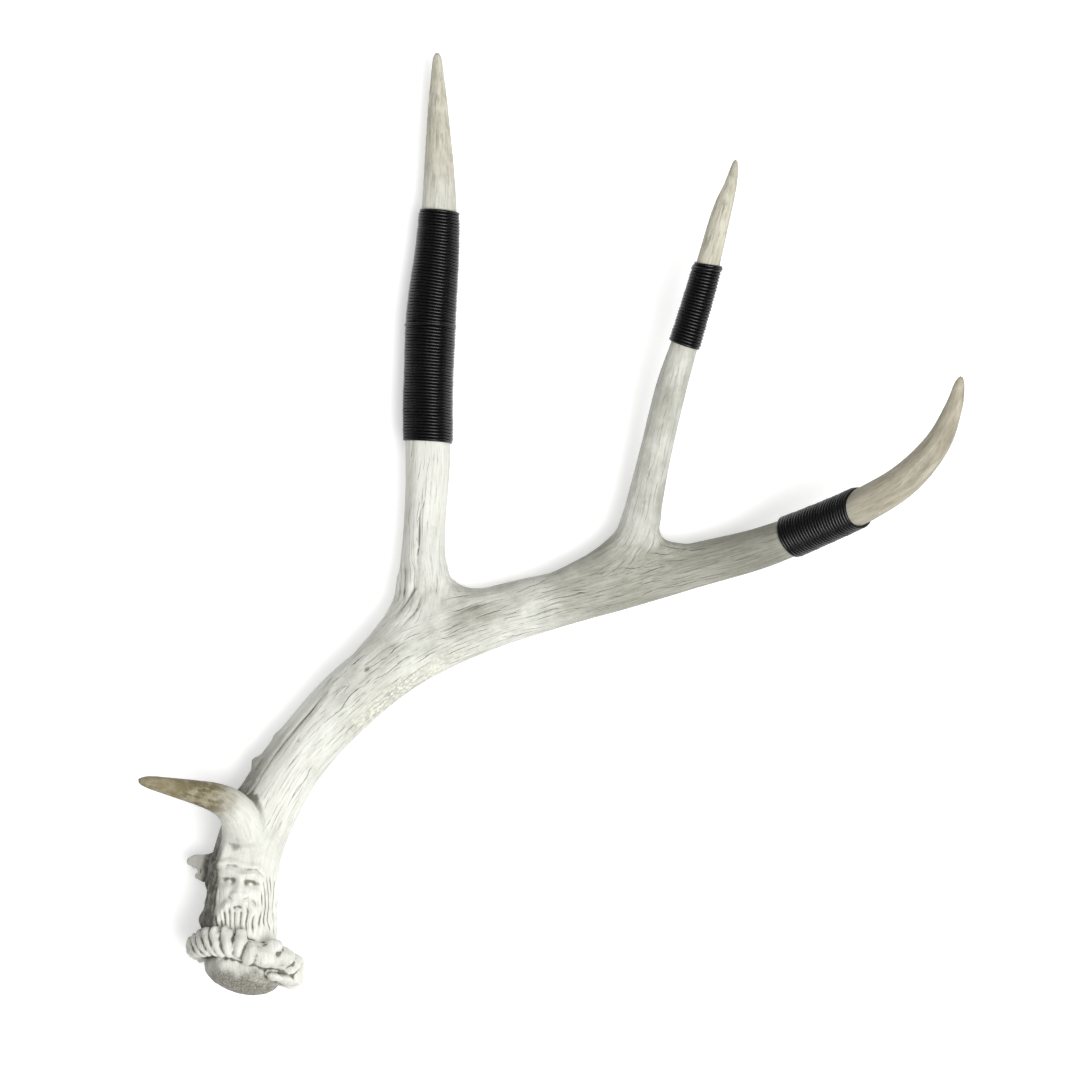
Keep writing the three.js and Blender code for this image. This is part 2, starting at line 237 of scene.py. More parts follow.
# burr: a ring of knobs and ribs round a rough dome
burrSetup = {
    "middle": (0.5, -2.5, 26.6), "across": (0.969, -0.246, 0), "lift": math.radians(18), "oval": 0.94,
    "ringRadius": 20.0, "ringThick": 5.6, "knobRadius": 23.2,
    "dome": (1.0, 0, 7.2), "domeSize": (18.4, 17.4, 9.6),
    # bearing, offset towards the dome, half-width, half-length, reach, lean in degrees
    "knobs": [
        (173, 1.0, 1.9, 7.4, 4.6, 46), (161.5, 2.0, 1.9, 7.8, 4.8, 46), (151.5, 1.4, 1.9, 8.0, 4.9, 44),
        (142.5, 0.8, 2.0, 8.0, 4.9, 42), (132.5, 0, 2.1, 8.0, 4.8, 40), (122, -0.4, 2.5, 7.8, 4.8, 34),
        (109.5, -1.0, 3.0, 7.2, 4.7, 24), (95.5, -1.8, 3.3, 6.6, 4.5, 8),
        (82, 1.6, 3.5, 5.6, 4.8, -4), (63.5, 0.8, 6.0, 5.0, 4.3, 0), (56, -5.2, 3.9, 3.5, 4.7, 0),
        (39, -2.4, 5.6, 4.6, 5.6, 0), (24, -0.4, 3.0, 6.4, 6.2, -24), (13, 1.6, 2.8, 6.8, 6.6, -24),
        (43, 8.0, 4.6, 1.9, 3.6, 0), (27, 7.2, 5.2, 2.3, 5.4, 0), (10, 5.4, 4.8, 3.0, 6.8, 0),
        (4, -3.4, 3.4, 3.6, 5.4, 0), (-5.5, 3.0, 3.0, 6.6, 6.2, -20), (-18, 2.6, 3.0, 6.4, 5.4, -14),
        (-32, 1.4, 3.4, 6.2, 4.6, -8), (-47, 0.8, 3.5, 6.4, 4.4, 0), (-62, 0.4, 3.4, 6.2, 4.2, 0),
        (-76, 0.6, 3.2, 6.2, 4.0, 4), (-90, 0.2, 3.2, 6.2, 4.0, 4), (-104, 0, 3.2, 6.2, 4.0, 6),
        (-118, -0.2, 3.2, 6.4, 4.2, 10), (-131, -0.4, 2.8, 6.4, 4.4, 16), (-143, -0.4, 2.6, 6.6, 4.4, 22),
        (-154, 0, 2.3, 6.8, 4.5, 30), (-165, 0.4, 2.1, 7.0, 4.5, 38), (-176, 0.8, 2.0, 7.2, 4.6, 44),
    ],
}


def burrMatrix(setup):
    across = Vector(setup["across"]).normalized()
    out = Vector((across.y, -across.x, 0)) * math.cos(setup["lift"]) + Vector((0, 0, math.sin(setup["lift"])))
    rise = out.cross(across)
    place = (np.array(setup["middle"]) + burrAt) * mm
    return Matrix.Translation(place) @ Matrix((across, rise, out)).transposed().to_4x4()


def addLump(matrix, place, size, turn=Matrix.Identity(4)):
    deselectAll()
    bpy.ops.mesh.primitive_uv_sphere_add(segments=24, ring_count=14, radius=1)
    lump = bpy.context.object
    scale = Matrix.Diagonal((size[0] * mm, size[1] * mm, size[2] * mm, 1))
    lump.data.transform(matrix @ Matrix.Translation(Vector(place) * mm) @ turn @ scale)
    return lump


def addBurr(setup):
    matrix = burrMatrix(setup)
    lumps = [addLump(matrix, setup["dome"], setup["domeSize"])]
    deselectAll()
    bpy.ops.mesh.primitive_torus_add(
        major_radius=setup["ringRadius"] * mm, minor_radius=setup["ringThick"] * mm,
        major_segments=60, minor_segments=16)
    ring = bpy.context.object
    ring.data.transform(matrix @ Matrix.Diagonal((1, setup["oval"], 0.9, 1)))
    lumps.append(ring)
    radius = setup["knobRadius"]
    for bearing, offset, width, length, reach, lean in setup["knobs"]:
        angle = math.radians(bearing)
        place = (radius * math.cos(angle), setup["oval"] * radius * math.sin(angle), offset)
        turn = Matrix.Rotation(angle, 4, "Z") @ Matrix.Rotation(math.radians(lean), 4, "X")
        lumps.append(addLump(matrix, place, (reach, width, length), turn))
    return lumps


# skin: all limbs and the burr as one mesh
skinSetup = {
    "voxel": 0.00122, "fineVoxel": 0.0005, "snapReach": 0.0028,  # in metres
    "easeSteps": 14, "forkSteps": 60, "forkReach": 18, "fineReach": 47,  # reaches in millimetres
}


def joined(name, sources, voxel):
    deselectAll()
    for source in sources:
        source.select_set(True)
    bpy.context.view_layer.objects.active = sources[0]
    bpy.ops.object.join()
    whole = bpy.context.object
    whole.name = name
    whole.data.name = name
    applyModifier(whole, "REMESH", mode="VOXEL", voxel_size=voxel, adaptivity=0)
    print(name, "remeshed:", len(whole.data.polygons), "faces")
    return whole


def buildSkin(setup):
    sources = [addLimb(name, line) for name, line in lines.items()]
    sources += [addLimb(name, limbLine(stations)) for name, stations in sideStations.items()]
    return joined("antler", sources + addBurr(burrSetup), setup["voxel"])


def buildFineBase(setup):  # the same base again in a finer mesh, for the skin to be drawn onto
    sources = [addLimb("neck", limbLine(limbStations["beam"][:7])), addLimb("brow", lines["browTine"])]
    sources += [addLimb(name, limbLine(sideStations[name])) for name in ("upperPoint", "lowerPoint")]
    return joined("fineBase", sources + addBurr(burrSetup), setup["fineVoxel"])


def limbPlace(co, line, chunk=8000):  # where points lie on a limb: offsets, run along it, share of its radius
    nearest = np.empty(len(co), int)
    for start in range(0, len(co), chunk):
        gap = co[start:start + chunk, None, :] - line["middle"][None, :, :]
        nearest[start:start + chunk] = np.argmin(np.einsum("ijk,ijk->ij", gap, gap), axis=1)
    gap = co - line["middle"][nearest]
    side, up, ahead = (np.einsum("ij,ij->i", gap, line[key][nearest]) for key in ("side", "up", "along"))
    across, deep = line["across"][nearest], line["deep"][nearest]
    share = np.sqrt(side**2 + up**2 + ahead**2) / (across + 0.001)
    off = (np.sqrt((side / across) ** 2 + (up / deep) ** 2 + (ahead / across) ** 2) - 1) * across
    run = line["run"][nearest]
    return {
        "side": side / mm, "up": up / mm, "run": (run + ahead) / mm, "left": (line["run"][-1] - run) / mm,
        "share": share, "off": off / mm, "girth": across / mm,
    }


def placeOnLimbs(skin):
    co = getCo(skin)
    places = {name: limbPlace(co, line) for name, line in lines.items()}
    tineNames = ["longTine", "shortTine", "browTine"]
    shares = np.array([places[name]["share"] for name in tineNames])
    best = np.argmin(shares, axis=0)
    tine = {
        key: np.choose(best, [places[name][key] for name in tineNames])
        for key in ("side", "up", "run", "share", "off", "girth", "left")
    }
    beam = places["beam"]
    onTine = ramp(beam["share"] - tine["share"], -0.4, 0.4)
    return beam, tine, best, onTine


def setWeights(piece, name, weights):
    group = piece.vertex_groups.new(name=name)
    for index, value in enumerate(np.clip(weights, 0, 1)):
        group.add([index], float(value), "REPLACE")


def easeSkin(skin, setup):  # rounds off the crooks and the knobs, less on thin tips and the burr
    beam, tine, _, onTine = placeOnLimbs(skin)
    girth = beam["girth"] * (1 - onTine) + tine["girth"] * onTine
    weight = ramp(girth, 1, 9) * (0.12 + 0.88 * ramp(beam["run"], 10, 26)) + 0.06
    weight *= 1 - 0.85 * ramp(beam["share"], 1.06, 1.2) * (beam["run"] < 60) * (onTine < 0.5)
    setWeights(skin, "ease", weight)
    applyModifier(skin, "SMOOTH", factor=0.5, iterations=setup["easeSteps"], vertex_group="ease")
    skin.vertex_groups.clear()
    print("skin eased")


def fillForks(skin, setup):  # the valleys between beam and tines fill up to one level sheet of bone
    beam, tine, best, _ = placeOnLimbs(skin)
    co, normals = getCo(skin), getNormals(skin)
    reach = setup["forkReach"]
    near = np.clip(reach - np.abs(beam["off"] - tine["off"]), 0, None) / reach
    fill = np.clip(near * near * reach / 4 - np.minimum(beam["off"], tine["off"]), 0, None)
    fill *= (best < 2) * ramp(np.abs(normals[:, 2]), 0.25, 0.75) * (1 - ramp(beam["share"], 1.5, 1.9))
    setCo(skin, co + normals * (fill * mm)[:, None])
    setWeights(skin, "forks", near * (best < 2) * (1 - ramp(beam["share"], 1.6, 2.0)))
    applyModifier(skin, "SMOOTH", factor=0.5, iterations=setup["forkSteps"], vertex_group="forks")
    skin.vertex_groups.clear()
    print("forks filled")


def restoreGirth(skin):  # what easing took off the limbs is put back
    beam, tine, _, _ = placeOnLimbs(skin)
    loss = np.clip(-np.minimum(beam["off"], tine["off"]), 0, 1.2) * ramp(beam["run"], 14, 30)
    setCo(skin, getCo(skin) + getNormals(skin) * (loss * mm)[:, None])
    print("girth restored, at most", round(loss.max(), 2), "mm")


def refineBase(skin, setup):  # finer faces where the burr and the carving are
    beam, _, _, onTine = placeOnLimbs(skin)
    near = (beam["run"] < setup["fineReach"]) & (onTine < 0.6) & (beam["share"] < 3)
    pickOnly(skin)
    for polygon in skin.data.polygons:
        polygon.select = all(near[index] for index in polygon.vertices)
    bpy.ops.object.mode_set(mode="EDIT")
    bpy.ops.mesh.select_mode(type="FACE")
    bpy.ops.mesh.subdivide(number_cuts=1, smoothness=0)
    bpy.ops.object.mode_set(mode="OBJECT")
    print("base refined:", len(skin.data.polygons), "faces")


def drawOntoFineBase(skin, fineBase, setup):
    beam, _, _, onTine = placeOnLimbs(skin)
    setWeights(skin, "base", (1 - ramp(beam["run"], 14, 26)) * (1 - ramp(onTine, 0.3, 0.6)))
    applyModifier(
        skin, "SHRINKWRAP", target=fineBase, wrap_method="PROJECT", use_negative_direction=True,
        use_positive_direction=True, project_limit=setup["snapReach"], vertex_group="base")
    applyModifier(skin, "SMOOTH", factor=0.35, iterations=2, vertex_group="base")
    skin.vertex_groups.clear()
    bpy.data.objects.remove(fineBase)
    print("base drawn onto its fine form")


# worn carving low on the beam, a small bearded head: u runs across it, v up the beam from the brow, in mm
carving = {"browRun": 38.5, "size": 1.35, "wear": 1.25, "sway": 0.45}


def blob(u, v, place, size, height):
    return height * np.exp(-(((u - place[0]) / size[0]) ** 2) - ((v - place[1]) / size[1]) ** 2)


def ridge(u, v, points):  # a raised line through points of u, v, width and height
    best = np.zeros(len(u))
    for (ua, va, wa, ha), (ub, vb, wb, hb) in zip(points, points[1:]):
        t = np.clip(((u - ua) * (ub - ua) + (v - va) * (vb - va)) / ((ub - ua) ** 2 + (vb - va) ** 2), 0, 1)
        distance = np.hypot(u - ua - t * (ub - ua), v - va - t * (vb - va))
        best = np.maximum(best, (ha + t * (hb - ha)) * np.exp(-((distance / (wa + t * (wb - wa))) ** 2)))
    return best


def strands(u, v, width, length, seed):  # rounded locks with narrow grooves between, about -1 to 1
    return 3.2 * np.abs(noise(np.stack([u / width, v / length, np.full(len(u), 0.5)], 1), seed)) - 1


def carvedHeight(u, v):
    u, v = u / carving["size"], v / carving["size"]
    drift = np.stack([u / 6, v / 6, np.zeros(len(u))], 1)
    u = u + carving["sway"] * noise(drift, 3)
    v = v + carving["sway"] * noise(drift, 4)
    m = np.sqrt(u * u + 0.05)  # both halves alike
    height = blob(m, v, (0, -5), (7.5, 7.5), 0.9)
    height += ridge(m, v, [(1.0, 0.0, 1.2, 1.1), (4, 0.9, 1.6, 1.5), (7.0, -0.6, 1.1, 0.6)])  # brow
    height += ridge(u, v, [
        (-8.6, 1.4, 0.8, 0.3), (-6, 3.6, 1.0, 0.8), (-2, 4.3, 0.7, 0.35),
        (1.5, 3.7, 0.9, 0.5), (5, 4.4, 1.0, 0.8), (8.4, 1.6, 0.8, 0.3)])  # hairline
    height += blob(m, v, (3.7, -2.5), (2.5, 1.4), -1.5)  # eyes
    height += blob(m, v, (3.7, -2.7), (1.4, 0.8), 0.8)
    height += ridge(m, v, [(0, -0.6, 1.2, 0.8), (0, -4, 1.3, 1.4), (0, -6.6, 1.7, 2.1)])  # nose
    height += blob(m, v, (1.7, -7.2), (1.0, 0.9), 0.9)
    height += blob(m, v, (5.0, -5.9), (2.4, 2.0), 0.9)  # cheeks
    moustache = ridge(m, v, [
        (0.5, -9.2, 1.1, 1.4), (2.8, -9.7, 1.4, 1.7), (5.2, -12, 1.2, 1.4), (6.6, -16, 0.8, 0.6)])
    height += moustache * (1 + 0.18 * strands(u, v, 1.3, 6, 5))
    height += blob(m, v, (0, -10.8), (2.2, 0.5), -0.1)  # mouth
    height += blob(m, v, (0, -12.0), (1.4, 0.7), 0.6)
    # beard and hair fall in wavy locks
    flow = u * (1 + 0.014 * (v + 14)) + 0.9 * noise(np.stack([u / 7, v / 9, np.ones(len(u))], 1), 6)
    waves = 1.6 * noise(np.stack([u / 4, v / 7, np.zeros(len(u))], 1), 8)
    locks = 0.34 * np.sin(2 * np.pi * flow / 1.9 + waves)
    beard = ramp(-v, 9, 14) * (1 - ramp(-v, 24, 28)) * (1 - ramp(m, 8, 12))
    height += beard * (0.8 + 0.2 * strands(flow, v, 1.5, 12, 7) + locks)
    waved = flow + 0.7 * np.sin(v / 2.6 + 1.3 * np.sign(u))
    locks = 0.34 * np.sin(2 * np.pi * waved / 2.1 + waves)
    hair = ramp(m, 6.4, 9.0) * ramp(-v, -4, 3) * (1 - ramp(-v, 24, 28))
    height += hair * (0.35 + 0.4 * strands(waved, v, 2.0, 12, 9) + locks)
    return carving["wear"] * height


# relief of the bone, heights in millimetres and bearings in degrees round the limb
reliefSetup = {
    "grainWide": 0.34, "grainFine": 0.17, "swell": 0.4, "seal": 0.16, "pearls": 110,
    "trough": 1.9, "troughAngle": 148, "keel": 2.4, "keelAngle": 130,
    "flute": 0.42, "fluteAngle": 158, "tineFlute": 0.672, "tineFluteAngle": 135,
    # run along the beam, bearing round it, height or depth, width
    "strays": [
        (72, 178, 1.7, 2.4), (88, 174, 2.4, 2.1), (102, 176, 0.9, 2.0), (22, 3, 2.0, 1.9), (27, -4, 1.4, 1.6),
        (19, 176, 2.0, 2.0), (41, 136, 2.0, 2.0), (41.5, 122, 1.6, 1.6), (33, 170, 1.0, 1.6),
    ],
    "pits": [
        (107, 104, 0.42, 1.3), (139, 53, 0.5, 1.6), (152, 109, 0.6, 1.9), (167, 97, 0.55, 1.8),
        (231, 84, 0.5, 1.5),
    ],
}


def bearing(place):
    return np.degrees(np.arctan2(place["up"], place["side"]))


def apartDegrees(angle, other):
    return (angle - other + 180) % 360 - 180


def window(value, start, full, fade, end):  # rises from start to full and falls from fade to end
    return ramp(value, start, full) * (1 - ramp(value, fade, end))


def spot(beam, run, turn, width, length):  # a soft round spot on the beam
    distance = apartDegrees(bearing(beam), turn) * beam["girth"] * math.pi / 180
    return np.exp(-((distance / width) ** 2) - ((beam["run"] - run) / length) ** 2)


def carveSkin(skin, setup, placing):
    beam, tine, best, onTine = placing
    co, normals = getCo(skin), getNormals(skin)
    onBeam = 1 - onTine
    run, angle = beam["run"], bearing(beam)
    rise = np.zeros(len(co))
    offBurr = 1 - 0.8 * ramp(beam["share"], 1.15, 1.4) * (run < 50)
    for place, share in ((beam, onBeam), (tine, onTine)):
        strength = share * ramp(place["girth"], 1.5, 12) * offBurr
        strength *= 0.45 + 0.55 * ramp(run, 60, 110)
        flow = np.stack([place["side"], place["up"], place["run"]], 1)
        rise += strength * setup["grainWide"] * noise(flow / (4.2, 4.2, 70), 11)
        rise += strength * setup["grainFine"] * noise(flow / (1.9, 1.9, 34), 12)
        rise += strength * setup["swell"] * noise(flow / (16, 16, 48), 13)
    trough = window(run, 60, 80, 108, 142) * onBeam
    rise -= setup["trough"] * trough * np.exp(-((apartDegrees(angle, setup["troughAngle"]) / 38) ** 2))
    # long flutes on the upper left of the beam and the left of the long tine
    flutes = noise(np.stack([beam["side"] / 2.6, beam["up"] / 2.6, run / 60], 1), 14)
    fluted = window(run, 56, 70, 165, 230) * onBeam
    fluted *= 1 - ramp(np.abs(apartDegrees(angle, setup["fluteAngle"])), 38, 62)
    rise += setup["flute"] * fluted * (2.6 * np.sqrt(flutes**2 + 0.06) - 1.05)
    flutes = noise(np.stack([tine["side"] / 3.2, tine["up"] / 3.2, tine["run"] / 75], 1), 15)
    fluted = onTine * (best == 0) * window(tine["run"], 22, 48, 140, 170)
    fluted *= 1 - ramp(np.abs(apartDegrees(bearing(tine), setup["tineFluteAngle"])), 42, 75)
    rise += setup["tineFlute"] * fluted * (2.6 * np.sqrt(flutes**2 + 0.015) - 0.9)
    # neck: a keel below the brow tine, strands and small pearls all round, and the carving on top
    keel = setup["keel"] * window(run, 36, 44, 58, 68) * (1 - ramp(onTine, 0.4, 0.9))
    rise += keel * np.exp(-((apartDegrees(angle, setup["keelAngle"]) / 13) ** 2))
    rise -= 0.6 * keel * np.exp(-((apartDegrees(angle, setup["keelAngle"] + 26) / 12) ** 2))
    arc = np.arctan2(beam["side"], beam["up"]) * beam["girth"]
    back = ramp(np.abs(arc), 16, 22)
    strand = noise(np.stack([beam["side"] / 2.4, beam["up"] / 2.4, run / 15], 1), 21)
    rise += 0.75 * window(run, 6, 11, 36, 44) * onBeam * back * (3.0 * np.abs(strand) - 0.8)
    for _ in range(setup["pearls"]):
        at, turn, size = rng.uniform(8, 46), rng.uniform(-180, 180), rng.uniform(0.9, 2.0)
        rise += 0.6 * size * spot(beam, at, turn, size, size * rng.uniform(1, 2.2)) * back * onBeam
    for at, turn, height, width in setup["strays"]:
        rise += height * spot(beam, at, turn, width, 1.3 * width) * onBeam
    for at, turn, depth, width in setup["pits"]:
        rise -= depth * spot(beam, at, turn, width, 1.3 * width) * onBeam
    face = ramp(run, 8, 12) * (1 - ramp(np.abs(arc), 17, 22)) * (1 - ramp(beam["share"], 1.2, 1.4))
    face *= (beam["up"] > -4) * (1 - ramp(run, 46, 52))
    rise += face * carvedHeight(arc, run - carving["browRun"])
    # dome: gritty where it broke away
    burr = np.array(burrMatrix(burrSetup).inverted())
    local = (co @ burr[:3, :3].T + burr[:3, 3]) / mm
    rim = np.hypot(local[:, 0] - 2.5, local[:, 1]) + 2.2 * noise(local / 4, 35)
    seal = ramp(local[:, 2], 3.5, 9.5) * (1 - ramp(rim, 14.0, 20.0))
    rise += seal * setup["seal"] * (noise(local / 1.1, 31) + 0.8 * noise(local / 0.6, 32))
    knobby = (1 - ramp(run, 6, 11)) * (1 - seal)
    rise += knobby * (0.42 * noise(local / 2.6, 33) + 0.15 * noise(local / 1.2, 34))
    co += normals * (rise * mm)[:, None]
    co[:, 2] = np.maximum(co[:, 2], 0)
    setCo(skin, co)
    setAttribute(skin, "seal", seal)
    print("relief carved")
    return seal


# where stains, wear and painted shade lie on the bone, bearings in degrees
stainAndShadeSetup = {"shadeAngle": 190, "chalkAngle": 32, "tipBandShade": 0.36, "browBend": 41}


def markStainsAndShade(skin, setup, placing, seal):
    beam, tine, best, onTine = placing
    onBeam = 1 - onTine
    longTine, shortTine, browTine = (onTine * (best == k) for k in range(3))
    run, tineRun, angle = beam["run"], tine["run"], bearing(beam)
    ownRun = tineRun + 500 * (best + 1)  # each tine has its own stretch of the grain
    for name, place, along in (("Beam", beam, run), ("Tine", tine, ownRun)):
        unrolled = np.arctan2(place["side"], place["up"]) * np.maximum(place["girth"], 4)
        setAttribute(skin, "grain" + name, np.stack([place["side"], place["up"], along], 1))
        setAttribute(skin, "unrolled" + name, np.stack([unrolled, along, np.zeros(len(run))], 1))
    setAttribute(skin, "onTine", onTine)
    setAttribute(skin, "browStain", browTine * ramp(tineRun, 19, 41))
    setAttribute(skin, "browDark", browTine * np.exp(-(((tineRun - setup["browBend"]) / 11) ** 2)))
    tineTip = (longTine + shortTine) * (1 - ramp(tine["left"], 40, 100))
    setAttribute(skin, "tip", np.maximum(tineTip, onBeam * (1 - ramp(beam["left"], 60, 120))))
    grey = onBeam * (0.28 * ramp(run, 100, 170) + 0.74 * ramp(run, 215, 318))
    grey += longTine * 0.3 * (1 - ramp(tineRun, 48, 85))
    grey += shortTine * (0.42 + 0.3 * (1 - ramp(tineRun, 30, 60)))
    setAttribute(skin, "weathered", grey)
    cracked = onBeam * (0.75 * ramp(run, 56, 72) + 0.25 * ramp(run, 100, 150))
    cracked *= 1 - 0.6 * ramp(run, 300, 340)
    setAttribute(skin, "cracked", cracked + 0.6 * longTine + 0.45 * shortTine)
    # painted shade: the left of the neck, and less of the left of the burr, is coloured darker, the side
    # turned from the lamp
    softer = 14 * ramp(run, 54, 74)
    dark = 1 - ramp(np.abs(apartDegrees(angle, setup["shadeAngle"])), 59 - softer, 66 + softer)
    dark *= (1 - ramp(run, 62, 120)) * onBeam
    dark *= 1 - 0.7 * ramp(beam["share"], 1.12, 1.3)
    dark *= (0.5 + 0.5 * ramp(run, 6, 12)) * (1 - seal)
    # painted shade: a darker band round the beam just below the tip winding
    tipBandShade = setup["tipBandShade"] * window(run, 314, 342, 354, 362) * onBeam
    setAttribute(skin, "paintedShade", np.maximum(dark, tipBandShade))
    chalk = window(run, 112, 140, 175, 210) * onBeam
    chalk *= 1 - ramp(np.abs(apartDegrees(angle, setup["chalkAngle"])), 16, 40)
    setAttribute(skin, "chalk", chalk)
    print("stains marked")


def paintHollowShade(skin, rounds=6):  # painted shade, darker where a point lies below its smoothed surroundings
    edges = np.empty(len(skin.data.edges) * 2, int)
    skin.data.edges.foreach_get("vertices", edges)
    edges = edges.reshape(-1, 2)
    co, normals = getCo(skin), getNormals(skin)
    count = np.bincount(edges.ravel(), minlength=len(co))[:, None]
    soft = co.copy()
    for _ in range(rounds):
        total = np.zeros_like(soft)
        np.add.at(total, edges[:, 0], soft[edges[:, 1]])
        np.add.at(total, edges[:, 1], soft[edges[:, 0]])
        soft = total / count
    depth = np.einsum("ij,ij->i", soft - co, normals) / mm
    setAttribute(skin, "hollowShade", np.clip(depth / 0.5, -1, 1))
    print("hollows marked")


skin = buildSkin(skinSetup)
easeSkin(skin, skinSetup)
fillForks(skin, skinSetup)
restoreGirth(skin)
refineBase(skin, skinSetup)
drawOntoFineBase(skin, buildFineBase(skinSetup), skinSetup)
placing = placeOnLimbs(skin)
seal = carveSkin(skin, reliefSetup, placing)
markStainsAndShade(skin, stainAndShadeSetup, placing, seal)
paintHollowShade(skin)
pickOnly(skin)
bpy.ops.object.shade_smooth()

# windings: one cord each, laid turn against turn on the bone, both ends tucked under
windingSetup = {
    "cord": 1.5, "pointsPerTurn": 26,
    # from and to along the limb, lean and dip of the first and last turn, where one turn crosses the others
    "long_tine_winding": {
        "limb": "longTine", "from": 127, "to": 237.9, "lean": (-0.03, -0.03), "dip": (0, 0), "over": 183,
    },
    "short_tine_winding": {
        "limb": "shortTine", "from": 142.5, "to": 183.3, "lean": (0, 0.16), "dip": (0, 0), "over": 180.5,
    },
    "beam_tip_winding": {
        "limb": "beam", "from": 359.9, "to": 398.9, "lean": (0.09, -0.16), "dip": (0.14, 0.5), "over": None,
    },
}


def addCord(name, strandList, radius):
    curve = bpy.data.curves.new(name, "CURVE")
    curve.dimensions = "3D"
    curve.bevel_depth = radius
    curve.bevel_resolution = 2
    curve.use_fill_caps = True
    for strand in strandList:
        spline = curve.splines.new("POLY")
        spline.points.add(len(strand) - 1)
        for k, point in enumerate(strand):
            spline.points[k].co = (*point, 1)
    piece = bpy.data.objects.new(name + "_cord", curve)
    bpy.context.scene.collection.objects.link(piece)
    pickOnly(piece)
    bpy.ops.object.convert(target="MESH")
    piece = bpy.context.object
    co = getCo(piece)
    co[:, 2] = np.maximum(co[:, 2], 0)
    setCo(piece, co)
    bpy.ops.object.shade_smooth()
    return piece


def addWinding(name, setup, skinTree):
    cord = setup["cord"] * mm
    own = setup[name]
    line = lines[own["limb"]]
    start, end = own["from"] * mm + cord / 2, own["to"] * mm - cord / 2
    turns = round((end - start) / cord)

    def layPoint(run, share, turn, height):  # a point of the cord on the bone, height above it in cord widths
        girth = np.interp(run, line["run"], line["across"])
        lean, dip = (own[key][0] + (own[key][1] - own[key][0]) * share for key in ("lean", "dip"))
        along = run + girth * (lean * math.cos(turn) - dip * math.sin(turn))
        middle, side, up = (
            Vector([np.interp(along, line["run"], line[key][:, axis]) for axis in range(3)])
            for key in ("middle", "side", "up"))
        out = (side * math.cos(turn) + up * math.sin(turn)).normalized()
        hit = skinTree.ray_cast(middle + out * 0.03, -out, 0.04)[0]
        reach = (hit - middle).length if hit else girth
        return middle + out * (reach + height * cord)

    def tucked(count, low, high):  # the ends go down into the winding
        rise = np.minimum(1, np.minimum(np.arange(count), count - 1 - np.arange(count)) / 10)
        return low + (high - low) * rise

    count = turns * setup["pointsPerTurn"]
    share, still = np.linspace(0, 1, count), np.zeros(count)
    drift = 0.05 * cord * noise(np.stack([share * turns / 3.1, still, still], 1), len(name))
    run = start + (end - start) * share + drift
    turn = 2 * np.pi * turns * share - 0.5 * np.pi  # ends tucked in underneath
    height = tucked(count, -0.4, 0.46) + 0.03 * np.sin(7.3 * share * turns)
    height += 0.03 * np.sin(2.1 * share * turns)
    strandList = [[layPoint(*values) for values in zip(run, share, turn, height)]]
    if own["over"]:  # one turn crosses the others, where a length of cord ends
        count = setup["pointsPerTurn"]
        turn = np.linspace(-0.35 * np.pi, 1.3 * np.pi, count)
        run = own["over"] * mm + cord * np.linspace(0.6, -0.9, count)
        share = np.full(count, (own["over"] * mm - start) / (end - start))
        height = tucked(count, 0.3, 0.95)
        strandList.append([layPoint(*values) for values in zip(run, share, turn, height)])
    piece = addCord(name, strandList, cord * 0.53)  # a little thick, so that no gap shows between turns
    length = sum((b - a).length for strand in strandList for a, b in zip(strand, strand[1:]))
    print(name, "has", turns, "turns,", round(length, 2), "m of cord,", len(piece.data.polygons), "faces")
    return piece


skinTree = BVHTree.FromPolygons(
    [v.co for v in skin.data.vertices], [list(p.vertices) for p in skin.data.polygons])
windings = [name for name in windingSetup if name.endswith("winding")]
cords = {name: addWinding(name, windingSetup, skinTree) for name in windings}


# materials
def newMaterial(name):
    material = bpy.data.materials.new(name)
    material.use_nodes = True
    nodes = material.node_tree.nodes
    return material, nodes, material.node_tree.links, nodes["Principled BSDF"]


def attributeOf(nodes, name, output="Fac"):
    node = nodes.new("ShaderNodeAttribute")
    node.attribute_name = name
    return node.outputs[output]


def mathNode(tree, operation, first, second=None, clamp=False):
    node = tree.nodes.new("ShaderNodeMath")
    node.operation = operation
    node.use_clamp = clamp
    for socket, value in zip(node.inputs, (first, second)):
        if value is None:
            continue
        if isinstance(value, (int, float)):
            socket.default_value = value
        else:
            tree.links.new(value, socket)
    return node.outputs[0]


def times(tree, first, second):
    return mathNode(tree, "MULTIPLY", first, second)


def plus(tree, first, second):
    return mathNode(tree, "ADD", first, second)


def mixColour(tree, factor, first, second):
    node = tree.nodes.new("ShaderNodeMix")
    node.data_type = "RGBA"
    for socket, value in ((node.inputs[0], factor), (node.inputs[6], first), (node.inputs[7], second)):
        if isinstance(value, (int, float)):
            socket.default_value = value
        elif isinstance(value, tuple):
            socket.default_value = (*value, 1)
        else:
            tree.links.new(value, socket)
    return node.outputs[2]


def mapRange(tree, value, low, high, toLow=0.0, toHigh=1.0):
    node = tree.nodes.new("ShaderNodeMapRange")
    node.interpolation_type = "SMOOTHSTEP"
    tree.links.new(value, node.inputs["Value"])
    for key, number in (("From Min", low), ("From Max", high), ("To Min", toLow), ("To Max", toHigh)):
        node.inputs[key].default_value = number
    return node.outputs["Result"]


def stretched(tree, vector, scale):
    node = tree.nodes.new("ShaderNodeVectorMath")
    node.operation = "MULTIPLY"
    tree.links.new(vector, node.inputs[0])
    node.inputs[1].default_value = scale
    return node.outputs[0]


def noiseNode(tree, vector, scale=1.0, detail=3.0, roughness=0.55):
    node = tree.nodes.new("ShaderNodeTexNoise")
    tree.links.new(vector, node.inputs["Vector"])
    node.inputs["Scale"].default_value = scale
    node.inputs["Detail"].default_value = detail
    node.inputs["Roughness"].default_value = roughness
    return node.outputs["Fac"]


# lines of cracks per millimetre, how wide their core and their edge are, how sparse
crackFamilies = ((0.21, 0.010, 0.045, 0.48), (0.43, 0.012, 0.075, 0.46), (0.71, 0.014, 0.10, 0.50))


